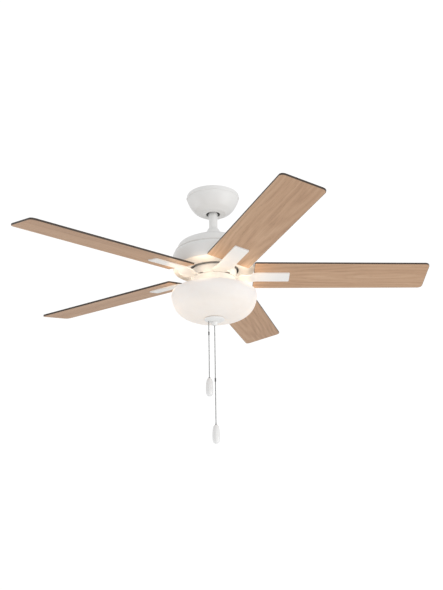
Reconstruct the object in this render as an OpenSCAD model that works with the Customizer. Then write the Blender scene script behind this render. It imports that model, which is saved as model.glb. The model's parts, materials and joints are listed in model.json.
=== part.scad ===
// Ceiling fan with a bowl light, hung from a ball-and-socket bracket on a short downrod.
// Millimetres. +Z is up, and the origin is on the fan's axis at the ceiling plane.

/* [Blades] */
// Number of blades and blade arms
blade_count = 5; // [5:1:5]
// Distance from the fan's axis to a blade's tip
blade_tip_r = 660.4; // [560:1:700]
// Distance from the fan's axis to a blade's inner end
blade_root_r = 123; // [118:1:130]
// Width of a blade at its tip
blade_tip_w = 131; // [110:1:140]
// Width of a blade at its inner end
blade_root_w = 136; // [110:1:140]
// Thickness of a blade
blade_t = 5.6; // [4:0.1:8]
// Pitch of the blades; negative puts the clockwise edge higher, seen from above
blade_pitch = -12.3; // [-16:0.1:-8]
// Direction of the first blade
blade_phase = 2.2; // [0:0.1:10]
// Drop from the ceiling to the blades' undersides at the middle of their width
blade_drop = 274; // [270:1:280]

/* [Blade arms] */
// Width of the plate that lies under a blade
arm_w = 45; // [38:1:50]
// Distance from the fan's axis to the plate's outer end
arm_tip_r = 233; // [220:1:245]
// Width that an arm's root flares to on its clockwise side, from the blade's centre line
arm_flare = 34; // [30:1:38]
// Thickness of an arm
arm_t = 3.4; // [3:0.1:4]

/* [Ceiling mount] */
// Distance between the two ceiling screws
mount_spacing = 89; // [80:1:100]
// Width of a ceiling screw's slot
mount_slot_w = 5.6; // [5:0.1:6]
// Length of a ceiling screw's slot
mount_slot_l = 14; // [12:1:18]
// Radius of the canopy at its rim
canopy_r = 82; // [80:1:86]
// Radius of the opening that the downrod passes through
canopy_hole_r = 22; // [21:0.5:24]
// Radius of the hanger ball
ball_r = 27; // [26:0.5:27.5]
// Outer radius of the downrod, of nominal 3/4 inch pipe
rod_r = 13.35; // [13:0.05:13.5]

/* [Motor housing] */
// Radius of the lower housing at its widest
band_r = 127.5; // [124:0.5:130]
// Radius of the upper housing at its lower edge
dome_r = 115; // [112:0.5:116]
// Radius of the flywheel that the arms are screwed to
flywheel_r = 71; // [70:0.5:73]

/* [Light kit] */
// Radius of the glass bowl at its widest
bowl_r = 131; // [126:0.5:134]
// Thickness of the glass
glass_t = 3.6; // [3:0.1:4.5]
// Radius of the cap under the bowl
cap_r = 31; // [29:0.5:32]

/* [Pull chains] */
// Diameter of the chains' beads
bead_d = 3.2; // [2.4:0.1:3.4]
// Drop from the ceiling to the top of the light chain's fob
light_fob_drop = 740; // [660:1:800]
// Drop from the ceiling to the top of the speed chain's fob
speed_fob_drop = 599; // [540:1:640]
// Distance that a chain travels when it is pulled
pull_travel = 10; // [8:0.5:12]

/* [Hidden] */

$fn = 96;
// Overlap of joined shapes, running fit, gap between neighbours, and how far a cut runs past a face
eps = 0.01;
fit = 0.05;
gap = 0.3;
over = 1;
wall = 1.2;

// Heights below are negative, counted from the ceiling plane
blade_z = -blade_drop;

// Ceiling bracket
plate_t = 2.5;
bracket_w = 34;
strap_t = 3;
strap_x = 37;
wire_hole_r = 14;
slot_mid = mount_slot_l - mount_slot_w;
tab_h = 13;
tab_gap = 0.4;
bar_half = canopy_r - wall - tab_gap;
tab_x = bar_half - strap_t;
ball_z = -38;
seat_top_z = ball_z - 8;
seat_bottom_z = -59.3;
seat_slot_w = 2 * rod_r + 4;
seat_hole_r = canopy_hole_r - 2;
seat_hole_h = 4;
ball_flat_z = ball_z + 20;
key_w = 4.4;
key_tip_y = 22.5;
key_z = [-50, -45];
key_slot_w = 5.2;
key_slot_y = 19.4;
key_slot_z = [ball_z - 21, ball_z + 12];

// Canopy outline, from its rim down to the flat bottom around the rod
canopy_top_z = -2;
lip_z = -14.5;
lip_step = 1.2;
canopy_bottom_z = -65;
canopy_bottom_r = 43;
canopy_outline = [[canopy_r - lip_step, lip_z - lip_step], [canopy_r - 3.2, -22],
    [canopy_r - 7.5, -31.5], [canopy_r - 14.5, -43], [canopy_r - 24.5, -54.5],
    [canopy_bottom_r, -63.2], [canopy_bottom_r - 3, canopy_bottom_z]];
canopy_screw_z = -8.5;
canopy_screw_l = 7.5;
side_hole_l = 8;
small_screw_r = 2;
small_head_r = 3.8;
small_head_h = 1.8;
drive_w = 0.9;
drive_deep = 0.9;
drive_l = 4.8;

// Downrod and yoke
rod_bore_r = 10.6;
rod_top_z = -20;
rod_bottom_z = -157;
pin_r = 3.2;
ball_pin_z = -38;
ball_pin_half = 20;
yoke_r = 17;
yoke_top_z = -129;
yoke_flange_r = 44;
yoke_flange_t = 4;
yoke_pin_z = -143;
yoke_pin_in = -19.5;
yoke_pin_out = 20.5;
pin_head = 1.4;
clip_r = 0.8;
clip_x = 19;
yoke_screw_z = -150;
yoke_screw_r = 3;
yoke_screw_l = 8;
cover_outline = [[16.5, -116], [18.2, -119.5], [21.2, -124.5], [25, -131], [28, -139], [30.2, -147],
    [31, -153.6]];

// Motor housing
dome_top_z = -154;
dome_t = 1.5;
dome_edge_z = -195.6;
dome_bottom_z = -198.6;
seam_z = -196;
dome_outline = [[21, dome_top_z], [46, dome_top_z], [60, dome_top_z - 0.8], [77, dome_top_z - 4],
    [92, dome_top_z - 11.4], [103, dome_top_z - 17.2], [109.5, dome_top_z - 22.6],
    [113.4, dome_top_z - 31], [dome_r, dome_edge_z], [dome_r, dome_bottom_z]];
band_bottom_z = -254.5;
band_outline = [[dome_r + 1, seam_z], [118.4, seam_z - 1], [121.6, seam_z - 3], [124, seam_z - 6],
    [125.6, seam_z - 9.4], [band_r, seam_z - 17], [band_r, -236], [band_r - 0.8, -246],
    [band_r - 2.6, band_bottom_z]];
band_hole_r = 77;
band_hole_z = band_bottom_z - 2.5;
band_floor_t = 1.5;
housing_screw_pcd_r = 36;
housing_screw_n = 4;
housing_screw_turn = 45;
head_lift = 0.2;

// Motor
shaft_r = 8.5;
shaft_bore_r = 6;
shaft_top_z = -158;
shaft_bottom_z = -297;
flange_top_z = dome_top_z - dome_t - fit;
flange_bottom_z = flange_top_z - yoke_flange_t;
yoke_bottom_z = flange_bottom_z - 4;
rotor_r = 97;
rotor_t = 2.5;
rotor_top_z = -176;
rotor_bottom_z = -248;
rotor_split_z = -212;
stator_r = 72;
stator_bore_r = shaft_r + fit;
stator_h = 22;
stator_z = (rotor_top_z + rotor_bottom_z - stator_h) / 2;
cage_lap = 3;
air_gap = 0.6;
slot_n = 16;
slot_w = 9;
winding_in_r = 48;
winding_out_r = 66;
winding_h = 7;
bearing_r = 17.5;
bearing_h = 10;
bearing_lip = 3;
bearing_wall = 3;
boss_bore_r = shaft_r + 4;
rotor_bolt_n = 4;
rotor_bolt_r = 2;
rotor_bolt_pcd_r = 92;
rotor_bolt_turn = 45;

// Flywheel
flywheel_top_z = -260;
flywheel_bottom_z = -283;
flywheel_neck_r = 60;
flywheel_bore_r = 34;
arm_screw_bite = 9;

// Arms
arm_seat = 0.02;
arm_root_z = flywheel_bottom_z;
arm_inner_r = 46;
arm_root_r = 70;
arm_neck = 11;
arm_neck_r = 76;
arm_notch = 18;
arm_notch_r = 72;
arm_wing_r = 80;
arm_flare_r = 84;
arm_bend_in_r = 98;
arm_bend_out_r = 136;
arm_mid = 2.5;
arm_steps = 36;
arm_screw_r = 2.2;
arm_screw_places = [[54, -26], [58, 2]];
arm_head_r = 4;
arm_head_h = 1.7;
blade_screw_places = [[150, -10], [150, 15], [214, 2.5]];
blade_screw_bite = 2.6;
blade_head_r = 5;
blade_head_h = 2;
blade_drive_l = 6;
tip_corner_r = 14;
root_corner_r = 5;
corner_steps = 10;

// Switch cup
cup_r = 68;
cup_top_z = -287;
cup_bottom_z = -322;
cup_t = 1.5;
cup_plate_t = 2.5;
cup_plate_z = cup_top_z - 3.5;
plate_hole_r = 6;
plate_hole_pcd_r = 40;
nut_r = 13;
nut_h = 3.2;
cup_screw_n = 3;
cup_screw_turn = 30;
cup_screw_z = -292.2;
cup_head_r = 2.8;
chain_hole_r = 4;
switch_size = [15.6, 26, 16];
switch_z = -314.5;
speed_x = -17.7;
capacitor_size = [46, 18, 24];
capacitor_y = -46;
reverse_size = [26, 10, 14];
reverse_travel = 3;
reverse_z = -306;
reverse_y = cup_r - 9.5;
reverse_slot = [3, 4.4];
slider_size = [7, 6, 6];
slider_foot = [5, 4, 4];
slider_foot_y = reverse_y - 2.6;
window_side = 0.7;
window_w = slider_size.x + 2 * reverse_travel + 2 * window_side;

// Light kit
pan_t = 1.5;
pan_z = cup_bottom_z - gap;
pan_outline = [[cup_r - 4, pan_z], [90, pan_z - 2.2], [108, pan_z - 5], [121, pan_z - 7], [128, pan_z - 7.4]];
bowl_top_z = -331.5;
bowl_outline = [[bowl_r - 1.6, bowl_top_z], [bowl_r, bowl_top_z - 10], [bowl_r - 2, bowl_top_z - 24],
    [bowl_r - 7, bowl_top_z - 39.5], [bowl_r - 15.4, bowl_top_z - 53.5], [bowl_r - 29, bowl_top_z - 66],
    [bowl_r - 49, bowl_top_z - 75.8], [bowl_r - 75, bowl_top_z - 81], [22, bowl_top_z - 82.3],
    [7, bowl_top_z - 82.5]];
bowl_bottom_z = bowl_top_z - 82.5;
gasket_t = 1;
cap_top_z = bowl_bottom_z - gasket_t;
cap_outline = [[cap_r, cap_top_z - 0.4], [cap_r, cap_top_z - 1.8], [cap_r - 2, cap_top_z - 3.6],
    [cap_r - 8, cap_top_z - 5.8], [cap_r - 16, cap_top_z - 7.6], [11, cap_top_z - 8.6]];
cap_bottom_z = cap_top_z - 8.6;
nipple_r = 4.8;
nipple_bore_r = 3.2;
nipple_top_z = cup_bottom_z + 5;
nipple_bottom_z = cap_bottom_z - 6;
lock_nut_r = 8.5;
lock_nut_h = 3;
knob_outline = [[8.4, cap_bottom_z], [10, cap_bottom_z - 1], [10.2, cap_bottom_z - 3],
    [9.6, cap_bottom_z - 6], [7.6, cap_bottom_z - 9.5], [4.6, cap_bottom_z - 12], [2.3, cap_bottom_z - 13]];
knob_bottom_z = cap_bottom_z - 13;
holder_z = -357;
tab_low_z = holder_z - 7;
tab_w = 18;
spigot_r = 3;
holder_in = 24;
holder_r = 17;
holder_l = 38;
bulb_r = 22;
bulb_l = 58;
bulb_base_r = 13;
bulb_base_l = 26;
globe_outline = [[bulb_base_r, 0], [15, 5], [18.6, 13], [21.4, 23], [bulb_r, 33], [20.4, 43],
    [15, 52], [7.5, 56.6], [0, bulb_l]];

// Pull chains: round numbers for the points of each route, top to bottom
chain_sides = 8;
bead_r = bead_d / 2;
stem_r = 2;
stem_l = 16;
stem_out = 3;
chain_top_z = switch_z - stem_out;
light_steps = 39;
speed_steps = 25;
light_step = (light_fob_drop + chain_top_z) / light_steps;
speed_step = (speed_fob_drop + chain_top_z) / speed_steps;
light_route = [for (i = [0:light_steps]) [0, 0, chain_top_z - i * light_step]];
speed_route = [for (i = [0:speed_steps]) [speed_x, 0, chain_top_z - i * speed_step]];
chain_clear = 0.8;
fob_outline = [[2.4, 0], [5.5, -2.5], [8.2, -7], [9.8, -14], [10.6, -22], [11, -32], [10.9, -41],
    [10, -48], [7.6, -53], [4, -55.5], [0, -56]];

// ---------- functions ----------
// A smooth curve through points, with steps pieces between each two
function spline(p, steps = 4) = concat([for (i = [0:len(p) - 2]) for (k = [0:steps - 1])
    between(p[max(i - 1, 0)], p[i], p[i + 1], p[min(i + 2, len(p) - 1)], k / steps)], [p[len(p) - 1]]);
function between(a, b, c, d, t) =
    ((2 * b) + (c - a) * t + (2 * a - 5 * b + 4 * c - d) * t * t + (3 * b - a - 3 * c + d) * t * t * t) / 2;
function unit(v) = v / norm(v);
// The direction across a curve at point i, to the right of its run
function across(p, i) = let (d = unit(p[min(i + 1, len(p) - 1)] - p[max(i - 1, 0)])) [d.y, -d.x];
function reversed(p) = [for (i = [len(p) - 1:-1:0]) p[i]];
// A closed outline of even thickness to the right of a curve
function skin(p, t) = concat(p, reversed([for (i = [0:len(p) - 1]) p[i] + t * across(p, i)]));
function arc(c, r, a, b, n) = [for (i = [0:n]) c + r * [cos(a + (b - a) * i / n), sin(a + (b - a) * i / n)]];
function ease(t) = let (x = min(max(t, 0), 1)) x * x * (3 - 2 * x);

// Half-widths, drop and twist of an arm, by distance from the axis
function arm_bent(r) = ease((r - arm_bend_in_r) / (arm_bend_out_r - arm_bend_in_r));
function arm_root_w(r) = sqrt(max(0, arm_root_r * arm_root_r - r * r));
function arm_wing(r) = arm_notch
    + (arm_flare - arm_notch) * ease((r - arm_notch_r) / (arm_wing_r - arm_notch_r));
function arm_left(r) = arm_w / 2 - arm_mid + (max(arm_wing(r), arm_root_w(r)) - arm_w / 2 + arm_mid)
    * (1 - ease((r - arm_flare_r) / (arm_bend_out_r - arm_flare_r)));
function arm_right(r) = arm_neck + (arm_w / 2 + arm_mid - arm_neck)
    * ease((r - arm_neck_r) / (arm_bend_in_r + 8 - arm_neck_r));
function arm_z(r) = (arm_root_z - blade_z) * (1 - arm_bent(r));
function arm_turn(r) = blade_pitch * arm_bent(r);
function arm_point(r, s, n) = [r, s * cos(arm_turn(r)) - n * sin(arm_turn(r)),
    blade_z + arm_z(r) + s * sin(arm_turn(r)) + n * cos(arm_turn(r))];
function arm_r(i) = i > arm_steps ? arm_tip_r : arm_inner_r + (arm_bend_out_r - arm_inner_r) * i / arm_steps;
function arm_ring(r) = [arm_point(r, -arm_left(r), -arm_seat), arm_point(r, arm_right(r), -arm_seat),
    arm_point(r, arm_right(r), -arm_t), arm_point(r, -arm_left(r), -arm_t)];

// ---------- shared modules ----------
module turned(outline) {
    rotate_extrude() polygon(outline);
}

module at_blade(k) {
    rotate([0, 0, blade_phase + k * 360 / blade_count])
        children();
}

module in_blade_plane(k) {
    at_blade(k)
        translate([0, 0, blade_z])
            rotate([blade_pitch, 0, 0])
                children();
}

module around(n, r, start = 0) {
    for (i = [0:n - 1])
        rotate([0, 0, start + i * 360 / n])
            translate([r, 0, 0])
                children();
}

// A tube of round section whose walls run between two heights
module tube(r, bore, z_low, z_high) {
    translate([0, 0, z_low])
        difference() {
            cylinder(r = r, h = z_high - z_low);
            translate([0, 0, -over])
                cylinder(r = bore, h = z_high - z_low + 2 * over);
        }
}

// A swept tube of chain_sides sides along a route
module sweep(route, r) {
    rings = len(route);
    turn = 360 / chain_sides;
    points = [for (p = route) for (i = [0:chain_sides - 1]) p + r * [cos(i * turn), sin(i * turn), 0]];
    sides = [for (k = [0:rings - 2]) for (i = [0:chain_sides - 1])
        [k * chain_sides + i, k * chain_sides + (i + 1) % chain_sides,
            (k + 1) * chain_sides + (i + 1) % chain_sides, (k + 1) * chain_sides + i]];
    top = [[for (i = [chain_sides - 1:-1:0]) i]];
    bottom = [[for (i = [0:chain_sides - 1]) (rings - 1) * chain_sides + i]];
    polyhedron(concat(points), concat(sides, top, bottom), convexity = 4);
}

// ---------- ceiling mount ----------
module seat_ring() {
    difference() {
        translate([0, 0, seat_bottom_z])
            cylinder(r = strap_x + strap_t / 2, h = seat_top_z - seat_bottom_z);
        translate([0, 0, ball_z])
            sphere(r = ball_r + fit);
        translate([0, 0, seat_bottom_z - over])
            cylinder(r = seat_hole_r, h = seat_hole_h);
        translate([-seat_slot_w / 2, 0, seat_bottom_z - over])
            cube([seat_slot_w, strap_x + strap_t, seat_top_z - seat_bottom_z + 2 * over]);
    }
}

module hanger_bracket() {
    color("silver") {
        difference() {
            intersection() {
                translate([-bar_half, -bracket_w / 2, -plate_t])
                    cube([2 * bar_half, bracket_w, plate_t]);
                translate([0, 0, -plate_t - over])
                    cylinder(r = bar_half, h = plate_t + 2 * over);
            }
            for (side = [-1, 1])
                translate([side * mount_spacing / 2, 0, -plate_t - over]) {
                    for (end = [-1, 1])
                        translate([end * slot_mid / 2, 0, 0])
                            cylinder(d = mount_slot_w, h = plate_t + 2 * over);
                    translate([-slot_mid / 2, -mount_slot_w / 2, 0])
                        cube([slot_mid, mount_slot_w, plate_t + 2 * over]);
                }
            translate([0, 0, -plate_t - over])
                cylinder(r = wire_hole_r, h = plate_t + 2 * over);
        }
        for (side = [-1, 1])
            difference() {
                translate([side * tab_x - strap_t / 2, -bracket_w / 4, -tab_h])
                    cube([strap_t, bracket_w / 2, tab_h - plate_t + eps]);
                translate([side * tab_x - strap_t, 0, canopy_screw_z])
                    rotate([0, 90, 0])
                        cylinder(r = small_screw_r, h = 2 * strap_t);
            }
        for (side = [-1, 1])
            translate([side * strap_x - strap_t / 2, -bracket_w / 2, seat_bottom_z])
                cube([strap_t, bracket_w, -plate_t - seat_bottom_z + eps]);
        seat_ring();
        translate([-key_w / 2, -strap_x, key_z[0]])
            cube([key_w, strap_x - key_tip_y, key_z[1] - key_z[0]]);
    }
}

module canopy() {
    side = spline(canopy_outline);
    color("white")
        difference() {
            union() {
                tube(canopy_r, canopy_r - wall, lip_z, canopy_top_z);
                tube(canopy_r, canopy_r - lip_step - wall, lip_z - lip_step, lip_z);
                turned(skin(side, wall));
                tube(canopy_bottom_r - 2, canopy_hole_r, canopy_bottom_z - wall / 2, canopy_bottom_z + wall);
            }
            for (turn = [0, 180])
                rotate([0, 0, turn])
                    translate([canopy_r - side_hole_l / 2, 0, canopy_screw_z])
                        rotate([0, 90, 0])
                            cylinder(r = small_screw_r + gap, h = side_hole_l);
        }
}

module canopy_screws() {
    color("silver")
        for (turn = [0, 180])
            rotate([0, 0, turn])
                translate([canopy_r, 0, canopy_screw_z])
                    rotate([0, 90, 0]) {
                        translate([0, 0, -canopy_screw_l])
                            cylinder(r = small_screw_r - fit, h = canopy_screw_l + eps);
                        difference() {
                            cylinder(r = small_head_r, h = small_head_h);
                            translate([-small_head_r, -drive_w / 2, small_head_h - drive_deep])
                                cube([2 * small_head_r, drive_w, drive_deep + over]);
                        }
                    }
}

module hanger_ball() {
    color("dimgray")
        difference() {
            translate([0, 0, ball_z])
                sphere(r = ball_r, $fn = 128);
            translate([0, 0, ball_z - ball_r - over])
                cylinder(r = rod_r + fit, h = 2 * ball_r + 2 * over);
            translate([0, 0, ball_flat_z])
                cylinder(r = ball_r, h = ball_r);
            translate([-ball_r, 0, ball_pin_z])
                rotate([0, 90, 0])
                    cylinder(r = pin_r + fit, h = 2 * ball_r);
            translate([-key_slot_w / 2, -ball_r - over, key_slot_z[0]])
                cube([key_slot_w, ball_r + over - key_slot_y, key_slot_z[1] - key_slot_z[0]]);
        }
}

module ball_pin() {
    color("silver")
        translate([-ball_pin_half, 0, ball_pin_z])
            rotate([0, 90, 0])
                cylinder(r = pin_r, h = 2 * ball_pin_half);
}

module downrod() {
    color("white")
        difference() {
            tube(rod_r, rod_bore_r, rod_bottom_z, rod_top_z);
            for (z = [ball_pin_z, yoke_pin_z])
                translate([-rod_r - over, 0, z])
                    rotate([0, 90, 0])
                        cylinder(r = pin_r + fit, h = 2 * rod_r + 2 * over);
        }
}

// ---------- motor hanger ----------
module yoke() {
    color("silver")
        difference() {
            union() {
                translate([0, 0, yoke_bottom_z])
                    cylinder(r = yoke_r, h = yoke_top_z - yoke_bottom_z);
                translate([0, 0, flange_bottom_z])
                    cylinder(r = yoke_flange_r, h = yoke_flange_t);
            }
            translate([0, 0, rod_bottom_z])
                cylinder(r = rod_r + fit, h = yoke_top_z - rod_bottom_z + over);
            translate([0, 0, yoke_bottom_z - over])
                cylinder(r = shaft_r + fit, h = rod_bottom_z - yoke_bottom_z + 2 * over);
            translate([-yoke_r - over, 0, yoke_pin_z])
                rotate([0, 90, 0])
                    cylinder(r = pin_r + fit, h = 2 * yoke_r + 2 * over);
            translate([0, -yoke_r - over, yoke_screw_z])
                rotate([-90, 0, 0])
                    cylinder(r = yoke_screw_r + fit, h = 2 * yoke_r + 2 * over);
            around(housing_screw_n, housing_screw_pcd_r, housing_screw_turn)
                translate([0, 0, flange_bottom_z - over])
                    cylinder(r = small_screw_r + fit, h = yoke_flange_t + 2 * over);
        }
}

module yoke_pin() {
    color("silver")
        translate([yoke_pin_in, 0, yoke_pin_z])
            rotate([0, 90, 0]) {
                cylinder(r = pin_r, h = yoke_pin_out - yoke_pin_in);
                translate([0, 0, -pin_head])
                    cylinder(r = pin_r + pin_head, h = pin_head + eps);
            }
}

module yoke_pin_clip() {
    color("dimgray")
        translate([clip_x, 0, yoke_pin_z])
            rotate([0, 90, 0])
                rotate_extrude()
                    translate([pin_r + clip_r + fit, 0])
                        circle(r = clip_r, $fn = 24);
}

module yoke_set_screws() {
    color("dimgray")
        for (side = [-1, 1])
            translate([0, side * (rod_r + gap), yoke_screw_z])
                rotate([-side * 90, 0, 0])
                    difference() {
                        cylinder(r = yoke_screw_r, h = yoke_screw_l);
                        translate([-yoke_screw_r, -drive_w / 2, yoke_screw_l - drive_deep])
                            cube([2 * yoke_screw_r, drive_w, drive_deep + over]);
                    }
}

module coupling_cover() {
    color("white")
        turned(skin(spline(cover_outline), wall));
}

// ---------- motor housing ----------
module housing_top() {
    color("white")
        difference() {
            turned(skin(spline(dome_outline), dome_t));
            around(housing_screw_n, housing_screw_pcd_r, housing_screw_turn)
                translate([0, 0, dome_top_z - dome_t - over])
                    cylinder(r = small_screw_r + gap, h = dome_t + 2 * over);
        }
}

module housing_band() {
    color("white") {
        turned(skin(spline(band_outline), dome_t));
        turned([[band_hole_r, band_hole_z], [band_r - 3.4, band_bottom_z],
            [band_r - 3.4, band_bottom_z + band_floor_t], [band_hole_r, band_hole_z + band_floor_t]]);
    }
}

module housing_screws() {
    color("silver")
        around(housing_screw_n, housing_screw_pcd_r, housing_screw_turn) {
            translate([0, 0, flange_bottom_z - over])
                cylinder(r = small_screw_r, h = dome_top_z + head_lift - flange_bottom_z + over + eps);
            translate([0, 0, dome_top_z + head_lift])
                difference() {
                    cylinder(r = small_head_r, h = small_head_h);
                    for (turn = [0, 90])
                        rotate([0, 0, turn])
                            translate([-drive_l / 2, -drive_w / 2, small_head_h - drive_deep])
                                cube([drive_l, drive_w, drive_deep + over]);
                }
        }
}

// ---------- motor ----------
module motor_shaft() {
    color("gray")
        tube(shaft_r, shaft_bore_r, shaft_bottom_z, shaft_top_z);
}

module stator_core() {
    color("dimgray")
        difference() {
            tube(stator_r, stator_bore_r, stator_z, stator_z + stator_h);
            around(slot_n, winding_in_r)
                translate([0, -slot_w / 2, stator_z - over])
                    cube([winding_out_r - winding_in_r, slot_w, stator_h + 2 * over]);
        }
}

module stator_windings() {
    color("chocolate") {
        for (low = [stator_z - winding_h, stator_z + stator_h])
            tube(winding_out_r, winding_in_r, low, low + winding_h);
        around(slot_n, winding_in_r)
            translate([gap, -slot_w / 2 + gap, stator_z - eps])
                cube([winding_out_r - winding_in_r - 2 * gap, slot_w - 2 * gap, stator_h + 2 * eps]);
    }
}

module rotor_shell(z_wall_low, z_wall_high, z_disc, z_boss) {
    difference() {
        union() {
            tube(rotor_r, rotor_r - rotor_t, z_wall_low, z_wall_high);
            tube(rotor_r - rotor_t / 2, boss_bore_r, z_disc, z_disc + rotor_t);
            tube(bearing_r + bearing_wall, bearing_r, z_boss, z_boss + bearing_h);
        }
        around(rotor_bolt_n, rotor_bolt_pcd_r, rotor_bolt_turn)
            translate([0, 0, rotor_bottom_z - over])
                cylinder(r = rotor_bolt_r + fit, h = rotor_top_z - rotor_bottom_z + 2 * over);
    }
}

module rotor_top_shell() {
    color("gray")
        rotor_shell(rotor_split_z, rotor_top_z, rotor_top_z - rotor_t,
            rotor_top_z - rotor_t - bearing_h + eps);
}

module rotor_bottom_shell() {
    color("gray")
        rotor_shell(rotor_bottom_z, rotor_split_z, rotor_bottom_z, rotor_bottom_z + rotor_t - eps);
}

module rotor_cage() {
    low = stator_z - cage_lap;
    high = stator_z + stator_h + cage_lap;
    color("slategray")
        difference() {
            tube(rotor_r - rotor_t, stator_r + air_gap, low, high);
            around(rotor_bolt_n, rotor_bolt_pcd_r, rotor_bolt_turn)
                translate([0, 0, low - over])
                    cylinder(r = rotor_bolt_r + fit, h = high - low + 2 * over);
        }
}

module rotor_bolts() {
    color("silver")
        around(rotor_bolt_n, rotor_bolt_pcd_r, rotor_bolt_turn) {
            translate([0, 0, rotor_bottom_z])
                cylinder(r = rotor_bolt_r, h = rotor_top_z - rotor_bottom_z + eps);
            translate([0, 0, rotor_top_z])
                cylinder(r = small_head_r, h = small_head_h);
        }
}

module bearing(z) {
    color("silver")
        difference() {
            tube(bearing_r, shaft_r + fit, z, z + bearing_h);
            for (face = [z - over, z + bearing_h - over])
                tube(bearing_r - bearing_lip, shaft_r + bearing_lip, face, face + 2 * over);
        }
}

module upper_bearing() {
    bearing(rotor_top_z - rotor_t - bearing_h);
}

module lower_bearing() {
    bearing(rotor_bottom_z + rotor_t);
}

module flywheel() {
    color("white")
        difference() {
            union() {
                translate([0, 0, flywheel_bottom_z])
                    cylinder(r = flywheel_r, h = flywheel_top_z - flywheel_bottom_z);
                translate([0, 0, flywheel_top_z - eps])
                    cylinder(r = flywheel_neck_r, h = rotor_bottom_z - flywheel_top_z + eps);
            }
            translate([0, 0, flywheel_bottom_z - over])
                cylinder(r = flywheel_bore_r, h = rotor_bottom_z - flywheel_bottom_z + 2 * over);
            for (k = [0:blade_count - 1])
                at_blade(k)
                    for (p = arm_screw_places)
                        translate([p.x, p.y, flywheel_bottom_z - over])
                            cylinder(r = arm_screw_r + fit, h = arm_screw_bite + 2 * over);
        }
}

// ---------- arms and blades ----------
module arm_plate() {
    n = arm_steps + 1;
    points = [for (i = [0:n]) for (p = arm_ring(arm_r(i))) p];
    sides = [for (k = [0:n - 1]) for (i = [0:3]) for (half = [0, 1]) half == 0
        ? [4 * k + i, 4 * k + (i + 1) % 4, 4 * k + 4 + (i + 1) % 4]
        : [4 * k + i, 4 * k + 4 + (i + 1) % 4, 4 * k + 4 + i]];
    ends = [[3, 2, 1], [3, 1, 0], [4 * n, 4 * n + 1, 4 * n + 2], [4 * n, 4 * n + 2, 4 * n + 3]];
    polyhedron(points, concat(sides, ends), convexity = 6);
}

module arm(k) {
    color("white")
        difference() {
            at_blade(k)
                arm_plate();
            at_blade(k)
                for (p = arm_screw_places)
                    translate([p.x, p.y, arm_root_z - arm_t - over])
                        cylinder(r = arm_screw_r + fit, h = arm_t + 2 * over);
            in_blade_plane(k)
                for (p = blade_screw_places)
                    translate([p.x, p.y, -blade_screw_bite])
                        cylinder(r = arm_screw_r + fit, h = arm_t);
        }
}

function blade_corner(r, y, bend, a) = arc([r, y], bend, a, a + 90, corner_steps);
function blade_outline() = concat(
    blade_corner(blade_root_r + root_corner_r, root_corner_r - blade_root_w / 2, root_corner_r, 180),
    blade_corner(blade_tip_r - tip_corner_r, tip_corner_r - blade_tip_w / 2, tip_corner_r, 270),
    blade_corner(blade_tip_r - tip_corner_r, blade_tip_w / 2 - tip_corner_r, tip_corner_r, 0),
    blade_corner(blade_root_r + root_corner_r, blade_root_w / 2 - root_corner_r, root_corner_r, 90));

module blade(k) {
    color("tan")
        in_blade_plane(k)
            difference() {
                linear_extrude(blade_t)
                    polygon(blade_outline());
                for (p = blade_screw_places)
                    translate([p.x, p.y, -over])
                        cylinder(r = arm_screw_r + fit, h = blade_t + 2 * over);
            }
}

module arm_screws() {
    color("silver")
        for (k = [0:blade_count - 1])
            at_blade(k)
                for (p = arm_screw_places)
                    translate([p.x, p.y, arm_root_z - arm_t]) {
                        translate([0, 0, -eps])
                            cylinder(r = arm_screw_r, h = arm_t + arm_screw_bite);
                        translate([0, 0, -arm_head_h])
                            cylinder(r = arm_head_r, h = arm_head_h);
                    }
}

module blade_screws() {
    color("silver")
        for (k = [0:blade_count - 1])
            in_blade_plane(k)
                for (p = blade_screw_places)
                    translate([p.x, p.y, -blade_screw_bite]) {
                        cylinder(r = arm_screw_r, h = blade_screw_bite + blade_t + eps);
                        translate([0, 0, blade_screw_bite + blade_t])
                            difference() {
                                cylinder(r = blade_head_r, h = blade_head_h);
                                for (turn = [0, 90])
                                    rotate([0, 0, turn])
                                        translate([0, 0, blade_head_h + over - (drive_deep + over) / 2])
                                            cube([blade_drive_l, drive_w, drive_deep + over], center = true);
                            }
                    }
}

// ---------- switch cup ----------
module cup_plate() {
    color("silver")
        difference() {
            tube(cup_r - cup_t - fit, shaft_r + fit, cup_plate_z - cup_plate_t, cup_plate_z);
            around(cup_screw_n, plate_hole_pcd_r, cup_screw_turn)
                translate([0, 0, cup_plate_z - cup_plate_t - over])
                    cylinder(r = plate_hole_r, h = cup_plate_t + 2 * over);
        }
}

module shaft_nut() {
    color("silver")
        difference() {
            translate([0, 0, cup_plate_z - cup_plate_t - nut_h])
                cylinder(r = nut_r, h = nut_h, $fn = 6);
            translate([0, 0, cup_plate_z - cup_plate_t - nut_h - over])
                cylinder(r = shaft_r + fit, h = nut_h + 2 * over);
        }
}

module switch_cup() {
    color("white")
        difference() {
            translate([0, 0, cup_bottom_z])
                cylinder(r = cup_r, h = cup_top_z - cup_bottom_z);
            translate([0, 0, cup_bottom_z + cup_t])
                cylinder(r = cup_r - cup_t, h = cup_top_z - cup_bottom_z);
            translate([0, 0, cup_bottom_z - over])
                cylinder(r = nipple_r + gap, h = cup_t + 2 * over);
            translate([speed_x, 0, cup_bottom_z - over])
                cylinder(r = chain_hole_r, h = cup_t + 2 * over);
            translate([-window_w / 2, 0, reverse_z - slider_size.z / 2 - window_side])
                cube([window_w, 2 * cup_r, slider_size.z + 2 * window_side]);
            around(cup_screw_n, cup_r - side_hole_l / 2, cup_screw_turn)
                translate([0, 0, cup_screw_z])
                    rotate([0, 90, 0])
                        cylinder(r = small_screw_r + gap, h = side_hole_l);
        }
}

module cup_screws() {
    color("silver")
        around(cup_screw_n, cup_r, cup_screw_turn)
            translate([0, 0, cup_screw_z])
                rotate([0, 90, 0])
                    cylinder(r = cup_head_r, h = small_head_h);
}

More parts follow.
